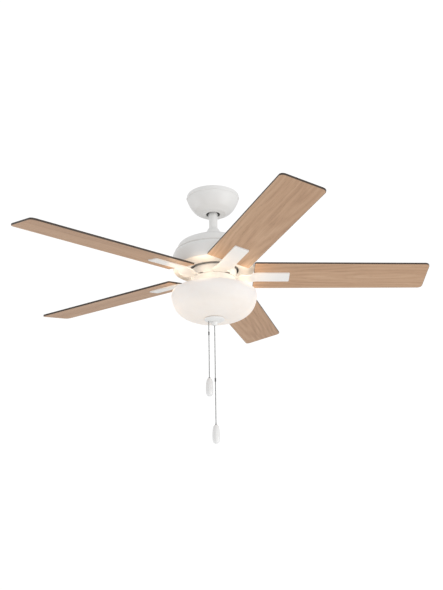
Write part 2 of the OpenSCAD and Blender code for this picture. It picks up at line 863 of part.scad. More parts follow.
module capacitor() {
    color("dimgray")
        translate([-capacitor_size.x / 2, capacitor_y, cup_bottom_z + cup_t])
            cube(capacitor_size);
}

module pull_switch(x) {
    difference() {
        translate([x - switch_size.x / 2, -switch_size.y / 2, switch_z])
            cube(switch_size);
        translate([x, 0, switch_z - over])
            cylinder(r = stem_r + fit, h = stem_l);
    }
}

module speed_switch() {
    color("dimgray")
        pull_switch(speed_x);
}

module light_switch() {
    color("dimgray")
        pull_switch(0);
}

module reverse_switch() {
    color("dimgray")
        difference() {
            translate([-reverse_size.x / 2, reverse_y - reverse_size.y, reverse_z - reverse_size.z / 2])
                cube(reverse_size);
            translate([-window_w / 2, reverse_y - reverse_slot[0], reverse_z - reverse_slot[1] / 2])
                cube([window_w, reverse_slot[0] + over, reverse_slot[1]]);
        }
}

module reverse_slider() {
    color("dimgray") {
        translate([-reverse_travel - slider_foot.x / 2, slider_foot_y, reverse_z - slider_foot.z / 2])
            cube(slider_foot);
        translate([-reverse_travel - slider_size.x / 2, reverse_y + over, reverse_z - slider_size.z / 2])
            cube([slider_size.x, cup_r - reverse_y, slider_size.z]);
    }
}

module speed_stem() {
    color("silver")
        translate([speed_x, 0, switch_z - stem_out])
            cylinder(r = stem_r, h = stem_l);
}

module light_stem() {
    color("silver")
        translate([0, 0, switch_z - stem_out])
            cylinder(r = stem_r, h = stem_l);
}

// ---------- light kit ----------
module fitter_pan() {
    color("white")
        difference() {
            union() {
                turned(skin(spline(pan_outline), pan_t));
                tube(cup_r - 3, nipple_r + gap, pan_z - pan_t, pan_z);
                for (side = [-1, 1])
                    translate([side * (holder_in + strap_t / 2) - strap_t / 2, -tab_w / 2, tab_low_z])
                        cube([strap_t, tab_w, pan_z - pan_t - tab_low_z + eps]);
            }
            translate([speed_x, 0, pan_z - pan_t - over])
                cylinder(r = chain_hole_r, h = pan_t + 2 * over);
            for (side = [-1, 1])
                translate([side * holder_in - 2 * strap_t, 0, holder_z])
                    rotate([0, 90, 0])
                        cylinder(r = spigot_r + fit, h = 4 * strap_t);
        }
}

module lamp_holders() {
    color("ivory")
        for (turn = [0, 180])
            rotate([0, 0, turn])
                translate([holder_in, 0, holder_z])
                    rotate([0, 90, 0])
                        difference() {
                            union() {
                                cylinder(r = spigot_r, h = strap_t + eps);
                                translate([0, 0, strap_t])
                                    cylinder(r = holder_r, h = holder_l - strap_t);
                            }
                            translate([0, 0, holder_l - bulb_base_l])
                                cylinder(r = bulb_base_r + fit, h = bulb_base_l + over);
                        }
}

module bulbs() {
    color("white")
        for (turn = [0, 180])
            rotate([0, 0, turn])
                translate([holder_in + holder_l - bulb_base_l, 0, holder_z])
                    rotate([0, 90, 0]) {
                        translate([0, 0, fit])
                            cylinder(r = bulb_base_r, h = bulb_base_l - fit);
                        translate([0, 0, bulb_base_l])
                            rotate_extrude()
                                polygon(concat([[0, 0]], spline(globe_outline)));
                    }
}

module nipple() {
    color("goldenrod")
        tube(nipple_r, nipple_bore_r, nipple_bottom_z, nipple_top_z);
}

module nipple_nut() {
    color("goldenrod")
        difference() {
            translate([0, 0, cup_bottom_z + cup_t])
                cylinder(r = lock_nut_r, h = lock_nut_h, $fn = 6);
            translate([0, 0, cup_bottom_z])
                cylinder(r = nipple_r + fit, h = cup_t + lock_nut_h + over);
        }
}

module glass_bowl() {
    color("ivory", 0.8)
        difference() {
            turned(skin(spline(bowl_outline), glass_t));
            translate([speed_x, 0, bowl_bottom_z - over])
                cylinder(r = chain_hole_r, h = glass_t + 2 * over);
        }
}

module bowl_gasket() {
    color("black")
        difference() {
            tube(cap_r - 3, nipple_r + gap, cap_top_z + eps, bowl_bottom_z - eps);
            translate([speed_x, 0, cap_top_z - over])
                cylinder(r = chain_hole_r, h = gasket_t + 2 * over);
        }
}

module finial_cap() {
    color("white")
        difference() {
            rotate_extrude()
                polygon(concat([[nipple_r + gap, cap_top_z], [cap_r - 0.4, cap_top_z]], spline(cap_outline),
                    [[nipple_r + gap, cap_bottom_z]]));
            translate([speed_x, 0, cap_bottom_z - over])
                cylinder(r = bead_r + chain_clear, h = cap_top_z - cap_bottom_z + 2 * over);
        }
}

module finial_knob() {
    color("white")
        difference() {
            rotate_extrude()
                polygon(concat([[0, cap_bottom_z - eps]], spline(knob_outline), [[0, knob_bottom_z]]));
            translate([0, 0, knob_bottom_z - over])
                cylinder(r = bead_r + chain_clear, h = cap_bottom_z - knob_bottom_z + 2 * over);
            translate([0, 0, nipple_bottom_z - gap])
                cylinder(r = nipple_r + fit, h = cap_bottom_z - nipple_bottom_z + gap + over);
        }
}

// ---------- pull chains ----------
module fob(x, drop) {
    translate([x, 0, -drop])
        rotate_extrude()
            polygon(concat([[0, 0]], spline(fob_outline, 5)));
}

module speed_chain() {
    color("silver")
        sweep(speed_route, bead_r);
}

module light_chain() {
    color("silver")
        sweep(light_route, bead_r);
}

module speed_fob() {
    color("white")
        fob(speed_x, speed_fob_drop);
}

module light_fob() {
    color("white")
        fob(0, light_fob_drop);
}

hanger_bracket();
canopy();
canopy_screws();
hanger_ball();
ball_pin();
downrod();
yoke();
yoke_pin();
yoke_pin_clip();
yoke_set_screws();
coupling_cover();
housing_top();
housing_band();
housing_screws();
motor_shaft();
stator_core();
stator_windings();
rotor_top_shell();
rotor_bottom_shell();
rotor_cage();
rotor_bolts();
upper_bearing();
lower_bearing();
flywheel();
arm(0);  // arm_1
arm(1);  // arm_2
arm(2);  // arm_3
arm(3);  // arm_4
arm(4);  // arm_5
blade(0);  // blade_1
blade(1);  // blade_2
blade(2);  // blade_3
blade(3);  // blade_4
blade(4);  // blade_5
arm_screws();
blade_screws();
cup_plate();
shaft_nut();
switch_cup();
cup_screws();
capacitor();
speed_switch();
light_switch();
reverse_switch();
reverse_slider();
fitter_pan();
lamp_holders();
bulbs();
nipple();
nipple_nut();
glass_bowl();
bowl_gasket();
finial_cap();
finial_knob();
speed_stem();
speed_chain();
speed_fob();
light_stem();
light_chain();
light_fob();
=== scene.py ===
import json
import math
import random

import bmesh
import bpy
from mathutils import Matrix, Quaternion, Vector


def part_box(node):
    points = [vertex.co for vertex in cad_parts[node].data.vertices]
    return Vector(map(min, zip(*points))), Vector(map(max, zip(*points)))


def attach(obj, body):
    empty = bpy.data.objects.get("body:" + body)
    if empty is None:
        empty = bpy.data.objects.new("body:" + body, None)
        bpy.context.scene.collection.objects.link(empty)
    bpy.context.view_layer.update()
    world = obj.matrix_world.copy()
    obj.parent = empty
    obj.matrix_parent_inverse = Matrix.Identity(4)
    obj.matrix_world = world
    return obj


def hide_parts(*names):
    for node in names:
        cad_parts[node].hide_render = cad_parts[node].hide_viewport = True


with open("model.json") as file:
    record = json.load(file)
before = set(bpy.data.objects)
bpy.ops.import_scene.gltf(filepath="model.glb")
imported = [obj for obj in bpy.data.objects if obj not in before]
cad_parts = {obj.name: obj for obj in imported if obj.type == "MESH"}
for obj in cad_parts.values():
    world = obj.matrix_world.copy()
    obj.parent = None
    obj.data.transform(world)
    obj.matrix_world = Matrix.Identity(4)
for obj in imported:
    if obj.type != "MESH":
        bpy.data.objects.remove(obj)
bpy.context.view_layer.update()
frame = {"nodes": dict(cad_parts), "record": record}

MM = 0.001
scene = bpy.context.scene
nodes = frame["nodes"]


# ---------- camera, fitted to the photo ----------
def aim(place, azimuth, elevation, roll):
    """The turn of a camera that looks along an azimuth from +Y and an elevation, then rolls."""
    a, e = math.radians(azimuth), math.radians(elevation)
    forward = Vector((math.sin(a) * math.cos(e), math.cos(a) * math.cos(e), math.sin(e)))
    turn = forward.to_track_quat("-Z", "Y") @ Quaternion((0, 0, 1), math.radians(roll))
    return Matrix.Translation(Vector(place)) @ turn.to_matrix().to_4x4()


lens = bpy.data.cameras.new("camera")
lens.lens = 58.42
lens.sensor_width = 36
camera = bpy.data.objects.new("camera", lens)
camera.matrix_world = aim((0, -2.7447, -1.3700), azimuth=0.466, elevation=20.627, roll=-0.969)
scene.collection.objects.link(camera)
scene.camera = camera


# ---------- places in the frame, in millimetres ----------
def top_of(node):
    return round(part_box(node)[1].z / MM, 2)


def bottom_of(node):
    return round(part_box(node)[0].z / MM, 2)


def radius_of(node):
    return round(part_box(node)[1].x / MM, 2)


def raised(outline, level):
    """An outline whose heights are counted from a level."""
    return [(r, level + z) for r, z in outline]


# ---------- mesh helpers; outlines are in millimetres ----------
def new_object(name, verts, faces):
    mesh = bpy.data.meshes.new(name)
    mesh.from_pydata([tuple(v) for v in verts], [], faces)
    bm = bmesh.new()
    bm.from_mesh(mesh)
    bmesh.ops.recalc_face_normals(bm, faces=bm.faces)
    for f in bm.faces:
        f.smooth = True
    bm.to_mesh(mesh)
    bm.free()
    piece = bpy.data.objects.new(name, mesh)
    scene.collection.objects.link(piece)
    return piece


def bevelled(piece, width, segments=3, angle=35, material=-1):
    """Rounded edges wherever two faces meet at more than an angle, with flat faces kept flat."""
    b = piece.modifiers.new("edges", "BEVEL")
    b.width = width * MM
    b.segments = segments
    b.limit_method = "ANGLE"
    b.angle_limit = math.radians(angle)
    b.material = material
    b.use_clamp_overlap = True
    w = piece.modifiers.new("normals", "WEIGHTED_NORMAL")
    w.keep_sharp = True
    return piece


def spline(points, steps=10):
    """A smooth run through the points."""
    out = []
    for i in range(len(points) - 1):
        a, b = points[max(i - 1, 0)], points[i]
        c, d = points[i + 1], points[min(i + 2, len(points) - 1)]
        for k in range(steps):
            t = k / steps
            out.append(tuple((2 * q + (r - p) * t + (2 * p - 5 * q + 4 * r - s) * t * t
                              + (3 * q - p - 3 * r + s) * t ** 3) / 2 for p, q, r, s in zip(a, b, c, d)))
    return out + [tuple(points[-1])]


def offset(run, t):
    """The run moved to its right by t."""
    out = []
    for i, p in enumerate(run):
        d = Vector(run[min(i + 1, len(run) - 1)]) - Vector(run[max(i - 1, 0)])
        d.normalize()
        out.append(tuple(Vector(p) + t * Vector((d.y, -d.x))))
    return out


def skin(run, t):
    """A closed outline of even thickness to the right of a run."""
    return list(run) + offset(run, t)[::-1]


def fillet(loop, radius, steps=5, sharp=25):
    """A closed outline with its corners rounded wherever it turns by more than sharp degrees."""
    out = []
    for i, p in enumerate(loop):
        b = Vector(p)
        u, v = Vector(loop[i - 1]) - b, Vector(loop[(i + 1) % len(loop)]) - b
        turn = math.pi - u.angle(v)
        if turn < math.radians(sharp):
            out.append(tuple(p))
            continue
        cut = min(radius * math.tan(turn / 2), 0.45 * u.length, 0.45 * v.length)
        r = cut / math.tan(turn / 2)
        u.normalize()
        v.normalize()
        centre = b + (u + v).normalized() * (r / math.cos(turn / 2))
        start, end = b + u * cut - centre, b + v * cut - centre
        a0, a1 = math.atan2(start.y, start.x), math.atan2(end.y, end.x)
        sweep = (a1 - a0 + math.pi) % (2 * math.pi) - math.pi
        for k in range(steps + 1):
            a = a0 + sweep * k / steps
            out.append((centre.x + r * math.cos(a), centre.y + r * math.sin(a)))
    return out


def arc(cx, cy, r, start, sweep, steps):
    """Points on an arc, in degrees."""
    turns = [math.radians(start + sweep * i / steps) for i in range(steps + 1)]
    return [(cx + r * math.cos(a), cy + r * math.sin(a)) for a in turns]


def lathe(name, outline, closed=True, segments=160, at=(0, 0, 0), axis="Z"):
    """An outline of radius and height turned about an upright axis, or about +X."""
    verts, rings, faces = [], [], []
    for r, z in outline:
        pole = r < 1e-6
        ring = []
        for k in range(1 if pole else segments):
            a = 2 * math.pi * k / segments
            ring.append(len(verts))
            p = Vector((r * math.cos(a), r * math.sin(a), z))
            if axis == "X":
                p = Vector((z, p.x, p.y))
            verts.append((p + Vector(at)) * MM)
        rings.append(ring)
    pairs = list(zip(rings, rings[1:])) + ([(rings[-1], rings[0])] if closed else [])
    for a, b in pairs:
        if len(a) == 1 and len(b) == 1:
            continue
        for k in range(segments):
            j = (k + 1) % segments
            if len(a) == 1:
                faces.append((a[0], b[k], b[j]))
            elif len(b) == 1:
                faces.append((a[k], b[0], a[j]))
            else:
                faces.append((a[k], b[k], b[j], a[j]))
    return new_object(name, verts, faces)


def finish_piece(piece, body, slot, *replaced, materials=None):
    """Gives a piece its materials (the slot's material unless others are given), ties it to the body it rides
    on and hides the nodes it stands for.
    """
    for m in materials or [looks[slot]]:
        piece.data.materials.append(m)
    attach(piece, body)
    if replaced:
        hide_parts(*replaced)
    return piece


# ---------- material helpers ----------
def srgb(*levels):
    """A colour from its display levels, 0 to 255."""
    parts = [level / 255 for level in levels]
    return tuple(p / 12.92 if p <= 0.04045 else ((p + 0.055) / 1.055) ** 2.4 for p in parts) + (1,)


def shade(colour, r, g, b):
    """A colour with its three parts scaled."""
    return (colour[0] * r, colour[1] * g, colour[2] * b, 1)


class Surface:
    """A node material, built by linking small procedural nodes to one Principled shader."""

    def __init__(self, name, **constants):
        self.material = bpy.data.materials.new(name)
        self.material.use_nodes = True
        self.tree = self.material.node_tree
        self.shader = self.tree.nodes["Principled BSDF"]
        for key, value in constants.items():
            self.shader.inputs[key.replace("_", " ")].default_value = value

    def add(self, kind, out=0, inputs=None, **settings):
        n = self.tree.nodes.new("ShaderNode" + kind)
        for key, value in settings.items():
            setattr(n, key, value)
        for key, value in (inputs or {}).items():
            self.put(value, n.inputs[key])
        return n.outputs[out]

    def put(self, value, socket):
        if isinstance(value, bpy.types.NodeSocket):
            self.tree.links.new(value, socket)
        else:
            socket.default_value = value

    def set(self, key, value):
        self.put(value, self.shader.inputs[key])

    def place(self, scale=(1, 1, 1), shift=(0, 0, 0), turn=(0, 0, 0), start=None):
        c = start or self.add("TexCoord", out="Object")
        return self.add("Mapping", inputs={"Vector": c, "Scale": scale, "Location": shift, "Rotation": turn})

    def noise(self, vector, scale, detail=3, rough=0.5):
        inputs = {"Vector": vector, "Scale": scale, "Detail": detail, "Roughness": rough}
        return self.add("TexNoise", inputs=inputs)

    def part(self, vector, axis):
        return self.add("SeparateXYZ", out="XYZ".index(axis), inputs={"Vector": vector})

    def ramp(self, fac, *stops):
        """Stops are a position and a colour or a grey."""
        n = self.tree.nodes.new("ShaderNodeValToRGB")
        self.put(fac, n.inputs["Fac"])
        while len(n.color_ramp.elements) < len(stops):
            n.color_ramp.elements.new(0.5)
        for e, (at, colour) in zip(n.color_ramp.elements, stops):
            e.position = at
            e.color = colour if hasattr(colour, "__len__") else (colour, colour, colour, 1)
        return n.outputs[0]

    def math(self, operation, a, b=0.0, c=0.0):
        n = self.tree.nodes.new("ShaderNodeMath")
        n.operation = operation
        for socket, value in zip(n.inputs, (a, b, c)):
            self.put(value, socket)
        return n.outputs[0]

    def times(self, a, b):
        return self.math("MULTIPLY", a, b)

    def plus(self, a, b):
        return self.math("ADD", a, b)

    def mix(self, fac, a, b):
        n = self.tree.nodes.new("ShaderNodeMix")
        n.data_type = "RGBA"
        for index, value in ((0, fac), (6, a), (7, b)):
            self.put(value, n.inputs[index])
        return n.outputs[2]

    def between(self, fac, low, high):
        return self.add("MapRange", inputs={"Value": fac, "To Min": low, "To Max": high})

    def bump(self, *layers):
        """Each layer is a height socket, a strength and a depth in metres."""
        normal = None
        for height, strength, depth in layers:
            inputs = {"Height": height, "Strength": strength, "Distance": depth}
            if normal is not None:
                inputs["Normal"] = normal
            normal = self.add("Bump", inputs=inputs)
        self.set("Normal", normal)


# ---------- materials ----------
HOUSE_DUST = srgb(176, 170, 160)
WOOD_DUST = srgb(176, 168, 156)


def dusted(s, colour, dust, amount):
    """A thin uneven film of dust on faces that look up."""
    up = s.part(s.add("TexCoord", out="Normal"), "Z")
    patches = s.between(s.noise(s.place(), 23, 5, 0.6), 0.2 * amount, 1.6 * amount)
    film = s.times(s.ramp(up, (0.55, 0), (0.98, 1)), patches)
    return s.mix(film, colour, dust), film


def enamel(name, colour, low=0.34, high=0.46, peel=0.10, dust=0.10):
    """Baked enamel: low and high are its roughness, peel the depth of its orange peel."""
    s = Surface(name, Coat_Weight=0.15, Coat_Roughness=0.2)
    p = s.place()
    tone = s.ramp(s.noise(p, 6, 4, 0.55), (0.3, shade(colour, 0.965, 0.96, 0.95)), (0.7, colour))
    tone, film = dusted(s, tone, HOUSE_DUST, dust)
    s.set("Base Color", tone)
    s.set("Roughness", s.plus(s.between(s.noise(p, 45, 5, 0.65), low, high), s.times(film, 0.5)))
    s.bump((s.noise(p, 520, 2, 0.5), peel, 0.00012), (s.noise(p, 30, 2), 0.05, 0.0004))
    return s.material


def metal(name, dark, light, low=0.22, high=0.4, grain=(1, 1, 1), size=260, mark=0.12):
    """Bare or plated metal with fine crystals and marks, drawn out where grain isn't even."""
    s = Surface(name, Metallic=1.0)
    p = s.place(scale=grain)
    cells = s.add("TexVoronoi", out="Color", inputs={"Vector": s.place(), "Scale": 330.0})
    fine = s.noise(p, size, 5, 0.6)
    blend = s.math("MULTIPLY_ADD", s.part(cells, "X"), 0.45, s.times(fine, 0.5))
    s.set("Base Color", s.mix(blend, dark, light))
    s.set("Roughness", s.between(s.noise(p, size / 4, 5, 0.7), low, high))
    s.bump((fine, mark, 0.0001))
    return s.material


def plastic(name, colour, low=0.4, high=0.6, grit=0.25):
    """Moulded plastic, rubber or paint with a fine grit."""
    s = Surface(name)
    p = s.place()
    s.set("Base Color", s.ramp(s.noise(p, 35, 4), (0.35, shade(colour, 0.8, 0.8, 0.8)), (0.65, colour)))
    s.set("Roughness", s.between(s.noise(p, 120, 4), low, high))
    s.bump((s.noise(p, 1600, 2), grit, 0.00008))
    return s.material


def veneer(name, seed, heading, tones, dust=0.0):
    """Washed oak whose grain runs along a blade's heading: arched figure, streaks, fibres and pores."""
    light, mid, dark, pore = tones
    s = Surface(name, Coat_Weight=0.06, Coat_Roughness=0.4)
    own = s.place(turn=(0, 0, -math.radians(heading)))
    rnd = random.Random(seed)
    shift = (rnd.uniform(-3, 3), rnd.uniform(-3, 3), rnd.uniform(-3, 3))

    def grain(along, over, deep, detail, rough):
        return s.noise(s.place((along, over, deep), shift, start=own), 1.0, detail, rough)

    wave = s.math("MULTIPLY_ADD", grain(2.4, 9, 9, 3, 0.5), 0.05, rnd.uniform(-0.06, 0.02))
    heart = rnd.uniform(0.3, 0.75)
    u = s.times(s.math("SUBTRACT", s.part(own, "X"), heart), rnd.uniform(0.085, 0.12))
    v = s.plus(s.part(own, "Y"), wave)
    ring = s.math("SQRT", s.plus(s.times(u, u), s.times(v, v)))
    phase = s.plus(s.times(ring, 470), s.times(grain(9, 60, 9, 4, 0.6), 7.5))
    figure = s.math("MULTIPLY_ADD", s.math("SINE", phase), 0.5, 0.5)
    fibre = grain(9, 520, 520, 5, 0.65)
    streak = grain(2.2, 120, 120, 6, 0.7)
    board = s.math("MULTIPLY_ADD", grain(1.2, 16, 16, 2, 0.5), 0.34, -0.17)
    body = s.plus(s.plus(s.times(figure, 0.10), s.times(streak, 0.62)), s.times(fibre, 0.32))
    tone = s.ramp(s.plus(body, board), (0.30, dark), (0.5, mid), (0.74, light))
    dashes = s.ramp(grain(55, 1500, 1500, 2, 0.5), (0.62, 0), (0.70, 1))
    pores = s.times(dashes, s.between(figure, 0.9, 0.25))
    tone = s.mix(s.times(pores, 0.7), tone, pore)
    if dust:
        tone, _ = dusted(s, tone, WOOD_DUST, dust)
    s.set("Base Color", tone)
    s.set("Roughness", s.between(fibre, 0.42, 0.62))
    s.bump((fibre, 0.25, 0.0002), (pores, -0.35, 0.0002))
    return s.material


def opal(name):
    """Opal glass with a painted glow, as if lit a little from inside, painted warmest low on its side."""
    s = Surface(name, Coat_Weight=0.12, Coat_Roughness=0.3, Subsurface_Weight=0.35,
                Subsurface_Scale=0.02, Subsurface_Radius=(1.0, 0.85, 0.7), Emission_Strength=0.27)
    p = s.place()
    height = s.part(s.add("TexCoord", out="Object"), "Z")
    low, high = (corner.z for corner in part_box("glass_bowl"))
    h = s.add("MapRange", inputs={"Value": height, "From Min": low, "From Max": high})
    cloud = s.noise(p, 14, 4, 0.6)
    s.set("Base Color", s.ramp(cloud, (0.3, srgb(203, 200, 196)), (0.7, srgb(210, 208, 205))))
    s.set("Roughness", s.between(s.noise(p, 60, 4), 0.42, 0.52))
    # painted glow: this emission colour stands in for lamp light through the glass, warmest towards the
    # bottom
    painted_glow = s.ramp(h, (0.0, srgb(255, 238, 222)), (0.35, srgb(255, 244, 234)), (0.75, srgb(252, 252, 255)))
    s.set("Emission Color", s.mix(s.times(cloud, 0.25), painted_glow, srgb(255, 255, 255)))
    s.bump((s.noise(p, 300, 2), 0.05, 0.0001))
    return s.material


def lamp(name):
    """The lit glass and the cap of a bulb."""
    s = Surface(name, Roughness=0.3, Emission_Strength=2.0)
    p = s.place()
    s.set("Base Color", s.ramp(s.noise(p, 40, 3), (0.3, srgb(244, 240, 230)), (0.7, srgb(252, 250, 244))))
    s.set("Emission Color", s.ramp(s.noise(p, 20, 2), (0.3, srgb(255, 214, 160)), (0.7, srgb(255, 228, 186))))
    s.bump((s.noise(p, 900, 2), 0.1, 0.0001))
    return s.material


BLADES, FIRST_BLADE = 5, 2.2
WHITE = srgb(246, 245, 243)
OAK = [srgb(210, 178, 148), srgb(191, 155, 123), srgb(164, 128, 99), srgb(122, 94, 72)]
OAK_UNDER = [srgb(208, 173, 141), srgb(191, 153, 121), srgb(165, 128, 99), srgb(120, 92, 70)]
OAK_UPPER = [srgb(194, 163, 135), srgb(174, 141, 113), srgb(144, 112, 87), srgb(110, 82, 62)]
looks = {
    "white_enamel": enamel("white_enamel", WHITE),
    "white_cast": enamel("white_cast", WHITE, high=0.5, peel=0.3, dust=0.12),
    "plated_steel": metal("plated_steel", srgb(138, 140, 140), srgb(196, 197, 194)),
    "chain_steel": metal("chain_steel", srgb(74, 74, 73), srgb(138, 138, 135), low=0.2, high=0.36,
                         size=900, mark=0.04),
    "black_nylon": plastic("black_nylon", srgb(34, 34, 36)),
    "copper_wire": metal("copper_wire", srgb(120, 58, 30), srgb(196, 112, 66), low=0.2, high=0.35,
                         grain=(40, 40, 900), size=1.0, mark=0.5),
    "brass": metal("brass", srgb(168, 128, 62), srgb(214, 178, 100), low=0.18, high=0.34, grain=(1, 1, 30)),
    "porcelain": enamel("porcelain", srgb(238, 233, 222), low=0.08, high=0.16, peel=0.03, dust=0.05),
    "fob_enamel": enamel("fob_enamel", srgb(244, 243, 242), low=0.10, high=0.2, peel=0.04, dust=0.0),
    "rubber": plastic("rubber", srgb(38, 37, 36), low=0.65, high=0.85, grit=0.4),
    "grey_cast": metal("grey_cast", srgb(126, 127, 128), srgb(176, 177, 178), low=0.36, high=0.55,
                       size=420, mark=0.35),
    "lamination_steel": metal("lamination_steel", srgb(58, 58, 62), srgb(120, 121, 124), low=0.3, high=0.5,
                              grain=(1, 1, 1400), size=1.0, mark=0.7),
    "opal_glass": opal("opal_glass"),
    "lamp_envelope": lamp("lamp_envelope"),
    "blade_veneer": veneer("blade_veneer", 3, FIRST_BLADE, OAK),
}
edge_paint = plastic("edge_paint", srgb(70, 57, 46), high=0.55, grit=0.2)

for row in frame["record"]["subparts"]:
    node = nodes[row["node"]]
    node.data.materials.clear()
    node.data.materials.append(looks[row["material_slot"]])


# ---------- pull chains ----------
BEAD, BEAD_PITCH, WIRE_R = 3.2, 3.8, 0.6
FOB = [(2.4, 0), (5.5, -2.5), (8.2, -7), (9.8, -14), (10.6, -22), (11, -32), (10.9, -41), (10, -48),
       (7.6, -53), (4, -55.5), (0, -56)]
SLEEVE = [(1.75, 5), (2.1, 5.2), (2.3, 4.4), (2.3, 1.1), (2.0, 0.7), (2.0, -0.7), (2.3, -1.1),
          (2.3, -4.4), (2.1, -5.2), (1.75, -5)]
FERRULE = [(1.2, 2.4), (1.9, 2.4), (2.5, 1.6), (2.5, 0.4), (3.1, -0.2), (1.2, -0.2)]


def bead_outline(top, bottom):
    """A run of beads on a thin wire, from the top down, as one turned outline."""
    count = int((top - bottom) / BEAD_PITCH)
    slack = (top - bottom - count * BEAD_PITCH) / 2
    r = BEAD / 2
    reach = math.degrees(math.acos(WIRE_R / r))
    out = [(0, top), (WIRE_R, top)]
    for k in range(count):
        out += arc(0, top - slack - (k + 0.5) * BEAD_PITCH, r, reach, -2 * reach, 6)
    return out + [(WIRE_R, bottom), (0, bottom)]


def pull_chain(tag, coupling_z):
    """A switch's bead chain with the coupling between its two lengths, its fob and the fob's ferrule."""
    low, high = (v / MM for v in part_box(f"{tag}_chain"))
    body, at = f"{tag}_pull", ((low.x + high.x) / 2, 0, 0)
    chain = lathe(f"{tag}_bead_chain", bead_outline(high.z, low.z), closed=False, segments=12, at=at)
    finish_piece(chain, body, "chain_steel", f"{tag}_chain")
    sleeve = raised(fillet(SLEEVE, 0.25), coupling_z)
    coupling = lathe(f"{tag}_chain_coupling", sleeve, segments=32, at=at)
    finish_piece(coupling, body, "chain_steel")
    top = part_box(f"{tag}_fob")[1].z / MM
    fob = lathe(f"{tag}_pull_fob", raised([(0, 0)] + spline(FOB), top), closed=False, segments=64, at=at)
    finish_piece(fob, body, "fob_enamel", f"{tag}_fob")
    ferrule = lathe(f"{tag}_fob_ferrule", raised(fillet(FERRULE, 0.25), top), segments=40, at=at)
    finish_piece(ferrule, body, "chain_steel")


pull_chain("light", coupling_z=-605)
pull_chain("speed", coupling_z=-460)


# ---------- canopy and downrod ----------
SHEET_T = 1.2


def canopy():
    """A drawn cup with a rolled step under its rim and a straight lip around its mouth."""
    rim_r, mouth_z, mouth_r = radius_of("canopy"), bottom_of("canopy"), 22
    rim_z, step_z = top_of("canopy"), -14
    side = [(80.8, -15.7), (78.8, -22), (74.5, -31.5), (67.5, -43), (57.5, -54.5), (43, -63.2), (40, -65)]
    side = spline(side)
    outer = [(rim_r, rim_z), (rim_r, step_z + 0.6), (rim_r - 0.4, step_z - 0.2), (80.2, step_z - 0.4),
             (80.1, step_z - 1.3)] + side + [(mouth_r, mouth_z), (mouth_r, mouth_z + 1.6)]
    inner = [(39.8, -63.8)] + offset(side, SHEET_T)[::-1][2:]
    inner += [(rim_r - 2 * SHEET_T, step_z), (rim_r - SHEET_T, step_z + 1), (rim_r - SHEET_T, rim_z)]
    shell = lathe("canopy_shell", fillet(outer + inner, 0.5), segments=192)
    bevelled(shell, 0.01)
    finish_piece(shell, "ceiling_mount", "white_enamel", "canopy")


def coupling_bell():
    """The flared neck over the motor's coupling."""
    flare = [(16.5, 0), (18.2, -3.5), (21.2, -8.5), (25, -15), (28, -23), (30.2, -31), (31, -37.6)]
    flare = spline(raised(flare, top_of("coupling_cover")))
    bell = lathe("coupling_bell", fillet(skin(flare, SHEET_T), 0.5), segments=128)
    finish_piece(bell, "fan_body", "white_enamel", "coupling_cover")


canopy()
coupling_bell()


# ---------- motor housing ----------
HOUSING_T = 1.5


def housing_dome():
    """The housing's upper shell, from its flat top down to its edge at the seam."""
    dome = [(21, 44.6), (46, 44.6), (60, 43.8), (77, 40.6), (92, 33.2), (103, 27.4), (109.5, 22),
            (113.4, 13.6), (115, 3), (115, 0)]
    dome = spline(raised(dome, bottom_of("housing_top")))
    dome = lathe("housing_dome", fillet(skin(dome, HOUSING_T), 0.5), segments=192)
    finish_piece(dome, "fan_body", "white_enamel", "housing_top")


def housing_shell():
    """The housing's band, with a lip and a groove at its seam and a floor sloping down to the flywheel."""
    lip = spline([(115.4, 0.8), (118.6, 0.4), (120.9, -0.8), (121.3, -2.2), (120.5, -3.2)], 6)
    groove = [(118.4, -3.4), (118.4, -6.2)]
    side = spline([(120.9, -6.6), (123.6, -8.2), (125.9, -12), (127.5, -19), (127.5, -40), (126.7, -50),
                   (124.9, -58.5)])
    mouth = [(77, -61), (77, -59.5)]
    inner = [q for p, q in zip(side, offset(side, HOUSING_T)) if p[1] < -13 and q[1] > -56.6][::-1]
    inner += [(122.0, -10.6), (119.6, -8.6), (116.9, -7.8), (116.9, -2.0), (115.4, -1.4)]
    band = raised(lip + groove + side + mouth + inner, top_of("housing_band"))
    band = lathe("housing_shell", fillet(band, 0.45), segments=192)
    finish_piece(band, "fan_body", "white_enamel", "housing_band")


housing_dome()
housing_shell()


# ---------- flywheel ----------
wheel_r, wheel_top, wheel_bottom = radius_of("flywheel"), top_of("flywheel"), bottom_of("flywheel")
WHEEL_BORE_R, WHEEL_NECK_R, WHEEL_NECK_H = 34, 60, 12
wheel = [(WHEEL_BORE_R, wheel_bottom), (wheel_r, wheel_bottom), (wheel_r, wheel_top - WHEEL_NECK_H),
         (WHEEL_NECK_R, wheel_top - WHEEL_NECK_H), (WHEEL_NECK_R, wheel_top), (WHEEL_BORE_R, wheel_top)]
wheel = lathe("flywheel_casting", fillet(wheel, 0.8), segments=180)
bevelled(wheel, 0.3, segments=2)
finish_piece(wheel, "rotor", "white_cast", "flywheel")


# ---------- blade arms ----------
BLADE_Z, BLADE_PITCH = -274.0, -12.3
ARM_INNER_R, ARM_ROOT_R, ARM_TIP_R = 46, 70, 233
ARM_T, ARM_SEAT, ARM_CORNER_R = 3.4, 0.02, 3.0
ARM_LEFT, ARM_RIGHT = 20, 25
ARM_NOTCH, ARM_FLARE, ARM_NECK = 18, 34, 11
ARM_NOTCH_R, ARM_NECK_R, ARM_WING_R, ARM_FLARE_R = 72, 76, 80, 84
ARM_BEND_IN_R, ARM_BEND_OUT_R = 98, 136
ACROSS = 8


def ease(t):
    """A smooth step from 0 to 1."""
    t = min(max(t, 0), 1)
    return t * t * (3 - 2 * t)


def heading_of(k):
    return FIRST_BLADE + 360 / BLADES * k


def in_wheel(k):
    """From a blade's own frame, which lies along +X, to its place on the wheel."""
    return Matrix.Rotation(math.radians(heading_of(k)), 4, "Z") @ Matrix.Translation((0, 0, BLADE_Z * MM))


